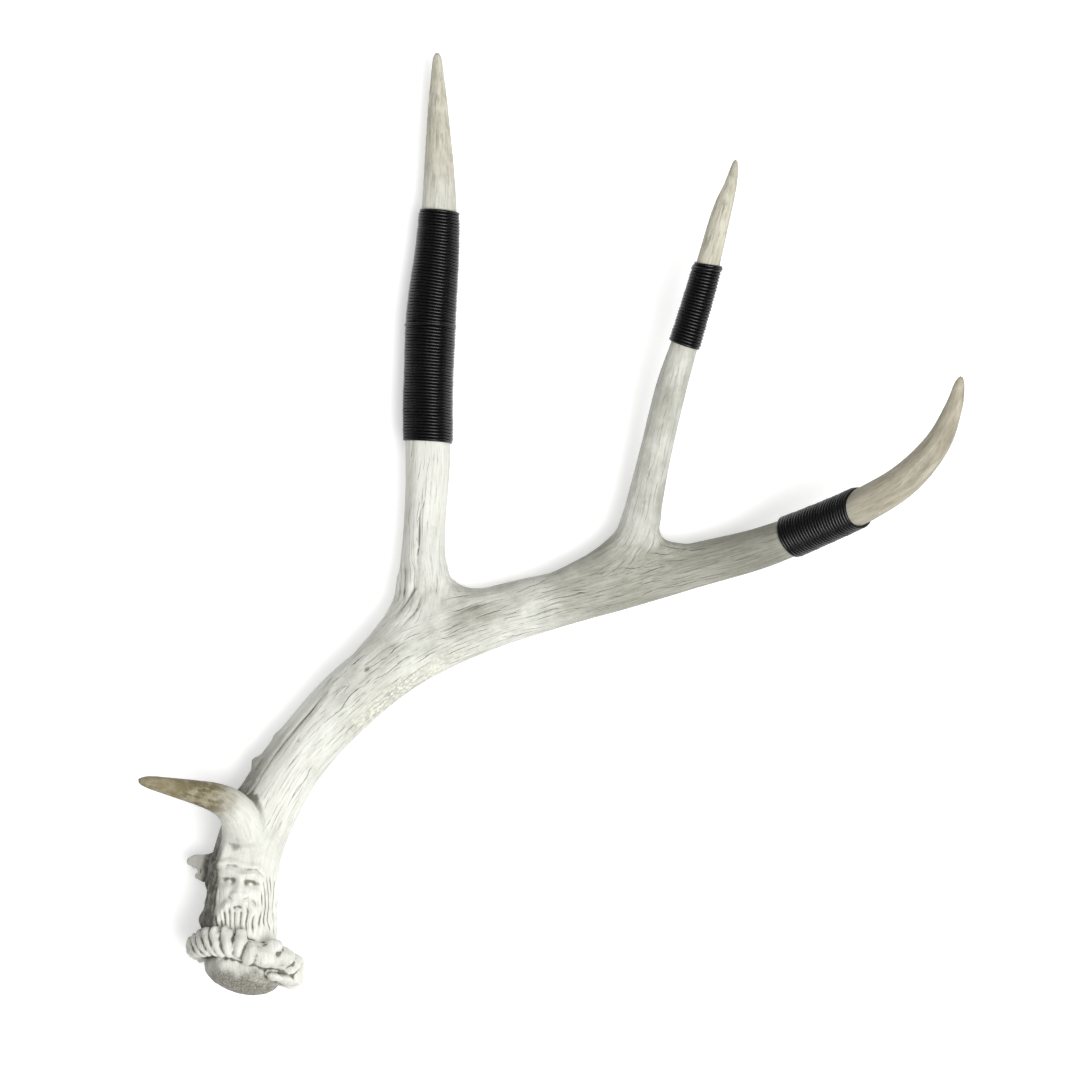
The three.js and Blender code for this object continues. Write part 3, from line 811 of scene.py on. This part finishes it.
def boneGrainGroup():  # grain that runs along a limb: streaks, blotches, hairline cracks and their height
    group = bpy.data.node_groups.new("boneGrain", "ShaderNodeTree")
    for name in ("Flow", "Unrolled"):
        group.interface.new_socket(name, in_out="INPUT", socket_type="NodeSocketVector")
    for name in ("Streak", "Mottle", "Crack", "Height"):
        group.interface.new_socket(name, in_out="OUTPUT", socket_type="NodeSocketFloat")
    inside = group.nodes.new("NodeGroupInput")
    outside = group.nodes.new("NodeGroupOutput")
    flow, surface = inside.outputs["Flow"], inside.outputs["Unrolled"]
    wide = noiseNode(group, stretched(group, flow, (0.42, 0.42, 0.024)), detail=5, roughness=0.66)
    fibre = noiseNode(group, stretched(group, flow, (1.25, 1.25, 0.06)), detail=4, roughness=0.7)
    mottle = noiseNode(group, stretched(group, flow, (0.34, 0.34, 0.085)), detail=6, roughness=0.68)
    apart = group.nodes.new("ShaderNodeSeparateXYZ")
    group.links.new(surface, apart.inputs[0])
    cracks = []
    for pitch, core, edge, sparse in crackFamilies:
        drift = noiseNode(group, stretched(group, surface, (0.05, 0.022, 0.0)), scale=1.0 + pitch, detail=1)
        jitter = noiseNode(group, stretched(group, surface, (0.30, 0.16, 0.0)), scale=1.0 + pitch, detail=3)
        lane = plus(group, times(group, apart.outputs["X"], pitch), times(group, drift, 2.6))
        lane = mathNode(group, "FRACT", plus(group, lane, times(group, jitter, 0.36)))
        aside = mathNode(group, "ABSOLUTE", mathNode(group, "SUBTRACT", lane, 0.5))
        line = mapRange(group, aside, core, edge, 1.0, 0.0)
        broad = stretched(group, surface, (0.22, 0.034, 0.0))
        patch = noiseNode(group, broad, scale=1.0 + 2 * pitch, detail=3)
        cracks.append(times(group, line, mapRange(group, patch, sparse, sparse + 0.16)))
    pores = noiseNode(group, stretched(group, flow, (1.5, 1.5, 0.28)), detail=2, roughness=0.5)
    pores = times(group, mapRange(group, pores, 0.62, 0.72), 0.2)
    crack = mathNode(group, "MAXIMUM", cracks[0], cracks[1])
    for faint in (times(group, cracks[2], 0.5), pores):
        crack = mathNode(group, "MAXIMUM", crack, faint)
    streak = plus(group, times(group, wide, 0.4), times(group, fibre, 0.6))
    height = mathNode(group, "SUBTRACT", streak, times(group, crack, 0.7))
    for name, value in (("Streak", streak), ("Mottle", mottle), ("Crack", crack), ("Height", height)):
        group.links.new(value, outside.inputs[name])
    return group


boneTones = {
    "pale": (0.73, 0.735, 0.68), "dull": (0.64, 0.64, 0.58),
    "greyPale": (0.345, 0.345, 0.293), "greyDull": (0.235, 0.235, 0.187),
    "cream": (0.58, 0.555, 0.445), "beige": (0.385, 0.345, 0.262),
    "tipPale": (0.56, 0.53, 0.44), "tipDull": (0.29, 0.265, 0.205), "tipBrown": (0.20, 0.175, 0.12),
    "tan": (0.21, 0.175, 0.09), "tanPale": (0.30, 0.265, 0.175), "rust": (0.11, 0.09, 0.045),
    "sand": (0.35, 0.33, 0.275), "sandDark": (0.10, 0.092, 0.07), "chalk": (0.74, 0.735, 0.63),
    # the last two tones are painted shade, for the hollows and for the shaded left of the neck
    "crack": (0.06, 0.06, 0.05), "hollowShadeTone": (0.13, 0.125, 0.095), "shadeOlive": (0.075, 0.072, 0.054),
}


def boneMaterial(tones):
    material, nodes, links, shader = newMaterial("bleached bone")
    tree = material.node_tree
    group = boneGrainGroup()
    grains = []
    for name in ("Beam", "Tine"):
        node = nodes.new("ShaderNodeGroup")
        node.node_tree = group
        links.new(attributeOf(nodes, "grain" + name, "Vector"), node.inputs["Flow"])
        links.new(attributeOf(nodes, "unrolled" + name, "Vector"), node.inputs["Unrolled"])
        grains.append(node)
    onTine = attributeOf(nodes, "onTine")

    def blended(output):
        node = nodes.new("ShaderNodeMix")
        links.new(onTine, node.inputs[0])
        links.new(grains[0].outputs[output], node.inputs[2])
        links.new(grains[1].outputs[output], node.inputs[3])
        return node.outputs[0]

    streak, mottle, crack, height = (blended(name) for name in ("Streak", "Mottle", "Crack", "Height"))
    place = nodes.new("ShaderNodeTexCoord").outputs["Object"]
    patches = noiseNode(tree, place, scale=38, detail=5, roughness=0.62)
    blotch = noiseNode(tree, place, scale=240, detail=6, roughness=0.7)
    lightness = mapRange(tree, streak, 0.39, 0.60)
    colour = mixColour(tree, lightness, tones["dull"], tones["pale"])
    grey = mixColour(tree, lightness, tones["greyDull"], tones["greyPale"])
    reach = times(tree, attributeOf(nodes, "weathered"), 0.62)
    reach = plus(tree, reach, mathNode(tree, "SUBTRACT", patches, 0.42))
    colour = mixColour(tree, mapRange(tree, reach, 0.02, 0.62, 0.0, 0.95), colour, grey)
    # warm tips
    tip = attributeOf(nodes, "tip")
    tipTone = mixColour(tree, onTine, tones["beige"], tones["cream"])
    tipTone = mixColour(tree, mapRange(tree, patches, 0.46, 0.68, 0.0, 0.6), tipTone, tones["tipDull"])
    tipTone = mixColour(tree, mapRange(tree, streak, 0.40, 0.54, 0.6, 0.0), tipTone, tones["tipDull"])
    tipTone = mixColour(tree, mapRange(tree, mottle, 0.50, 0.66, 0.0, 0.6), tipTone, tones["tipBrown"])
    tipTone = mixColour(tree, mapRange(tree, mottle, 0.34, 0.46, 0.5, 0.0), tipTone, tones["tipPale"])
    colour = mixColour(tree, times(tree, tip, 0.85), colour, tipTone)
    # tan brow tine, rusty at its bend
    tan = mixColour(tree, mapRange(tree, mottle, 0.36, 0.54, 0.7, 0.0), tones["tan"], tones["tanPale"])
    stain = times(tree, attributeOf(nodes, "browStain"), mapRange(tree, blotch, 0.30, 0.6, 0.8, 1.0))
    colour = mixColour(tree, stain, colour, tan)
    rusty = plus(tree, times(tree, blotch, 0.5), times(tree, mottle, 0.5))
    rusty = times(tree, attributeOf(nodes, "browDark"), mapRange(tree, rusty, 0.43, 0.58, 0.0, 0.85))
    colour = mixColour(tree, rusty, colour, tones["rust"])
    # chalky flakes on the beam
    chalk = attributeOf(nodes, "chalk")
    colour = mixColour(tree, times(tree, chalk, 0.3), colour, tones["greyPale"])
    flakes = noiseNode(tree, place, scale=480, detail=4, roughness=0.65)
    flakes = times(tree, chalk, mapRange(tree, flakes, 0.46, 0.58, 0.0, 0.85))
    colour = mixColour(tree, flakes, colour, tones["chalk"])
    # sandy dome, and painted shade on the left of the neck
    seal = attributeOf(nodes, "seal")
    grit = mapRange(tree, noiseNode(tree, place, scale=1000, detail=3, roughness=0.7), 0.36, 0.64)
    sandy = mixColour(tree, grit, tones["sandDark"], tones["sand"])
    colour = mixColour(tree, times(tree, seal, 0.9), colour, sandy)
    dark = times(tree, attributeOf(nodes, "paintedShade"), mapRange(tree, blotch, 0.36, 0.64, 1.0, 0.75))
    colour = mixColour(tree, dark, colour, tones["shadeOlive"])
    # cracks, fewer on the tips and none on the dome, and painted shade in the hollows
    fewer = mathNode(tree, "MAXIMUM", seal, times(tree, tip, 0.4))
    cracked = mathNode(tree, "SUBTRACT", attributeOf(nodes, "cracked"), fewer, clamp=True)
    colour = mixColour(tree, times(tree, crack, times(tree, cracked, 0.95)), colour, tones["crack"])
    hollowShade = mapRange(tree, attributeOf(nodes, "hollowShade"), 0.10, 0.68, 0.0, 0.92)
    colour = mixColour(tree, hollowShade, colour, tones["hollowShadeTone"])
    links.new(colour, shader.inputs["Base Color"])
    links.new(mapRange(tree, streak, 0.3, 0.7, 0.74, 0.55), shader.inputs["Roughness"])
    shader.inputs["Specular IOR Level"].default_value = 0.3
    bump = nodes.new("ShaderNodeBump")
    bump.inputs["Strength"].default_value = 0.6
    bump.inputs["Distance"].default_value = 0.0006
    gritHeight = times(tree, times(tree, seal, grit), 0.8)
    links.new(plus(tree, height, gritHeight), bump.inputs["Height"])
    links.new(bump.outputs["Normal"], shader.inputs["Normal"])
    return material


cordTones = {"dark": (0.0015, 0.0015, 0.002), "lint": (0.0055, 0.0055, 0.0065)}


def cordMaterial(tones):
    material, nodes, links, shader = newMaterial("black waxed cord")
    tree = material.node_tree
    place = nodes.new("ShaderNodeTexCoord").outputs["Object"]
    lint = noiseNode(tree, place, scale=900, detail=4, roughness=0.65)
    wear = noiseNode(tree, place, scale=120, detail=3)
    colour = mixColour(tree, mapRange(tree, lint, 0.4, 0.75), tones["dark"], tones["lint"])
    links.new(colour, shader.inputs["Base Color"])
    links.new(mapRange(tree, wear, 0.3, 0.7, 0.18, 0.28), shader.inputs["Roughness"])
    shader.inputs["Specular IOR Level"].default_value = 0.3
    bump = nodes.new("ShaderNodeBump")
    bump.inputs["Strength"].default_value = 0.35
    bump.inputs["Distance"].default_value = 0.0002
    links.new(lint, bump.inputs["Height"])
    links.new(bump.outputs["Normal"], shader.inputs["Normal"])
    return material


skin.data.materials.clear()
skin.data.materials.append(boneMaterial(boneTones))
blackCord = cordMaterial(cordTones)
for piece in cords.values():
    piece.data.materials.clear()
    piece.data.materials.append(blackCord)
print("materials are on")

# stage: pale floor and soft light, the main lamp low beside the base
stageSetup = {
    "floorSize": 24.0, "floorTone": (0.90, 0.90, 0.90), "floorGlow": 0.32, "air": 0.27,
    "lamps": {  # place, size, watts
        "mainLamp": ((0.63, -0.44, 1.44), 1.1, 23.0),
        "topLamp": ((0.1, -0.1, 1.9), 1.6, 14.0),
    },
}


def addStage(setup):
    deselectAll()
    bpy.ops.mesh.primitive_plane_add(size=setup["floorSize"], location=(0, 0, -0.0002))
    floor = bpy.context.object
    floor.name = "floor"
    material, _, _, shader = newMaterial("pale floor")
    shader.inputs["Base Color"].default_value = (*setup["floorTone"], 1)
    shader.inputs["Roughness"].default_value = 0.9
    shader.inputs["Emission Color"].default_value = (1, 1, 1, 1)
    shader.inputs["Emission Strength"].default_value = setup["floorGlow"]
    floor.data.materials.append(material)
    for name, (place, size, watts) in setup["lamps"].items():
        data = bpy.data.lights.new(name, "AREA")
        data.shape = "DISK"
        data.size = size
        data.energy = watts
        lamp = bpy.data.objects.new(name, data)
        bpy.context.scene.collection.objects.link(lamp)
        lamp.location = place
        lamp.rotation_euler = Vector(place).to_track_quat("Z", "Y").to_euler()
    world = bpy.data.worlds.new("air")
    bpy.context.scene.world = world
    world.use_nodes = True
    world.node_tree.nodes["Background"].inputs["Color"].default_value = (1, 1, 1, 1)
    world.node_tree.nodes["Background"].inputs["Strength"].default_value = setup["air"]
    bpy.context.scene.view_settings.view_transform = "Standard"  # keeps the whites of the photograph
    print("stage is lit")


addStage(stageSetup)

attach(skin, "root")
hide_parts("beam", "brow_tine", "long_tine", "short_tine")
for name, piece in cords.items():
    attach(piece, "root")
    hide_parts(name)
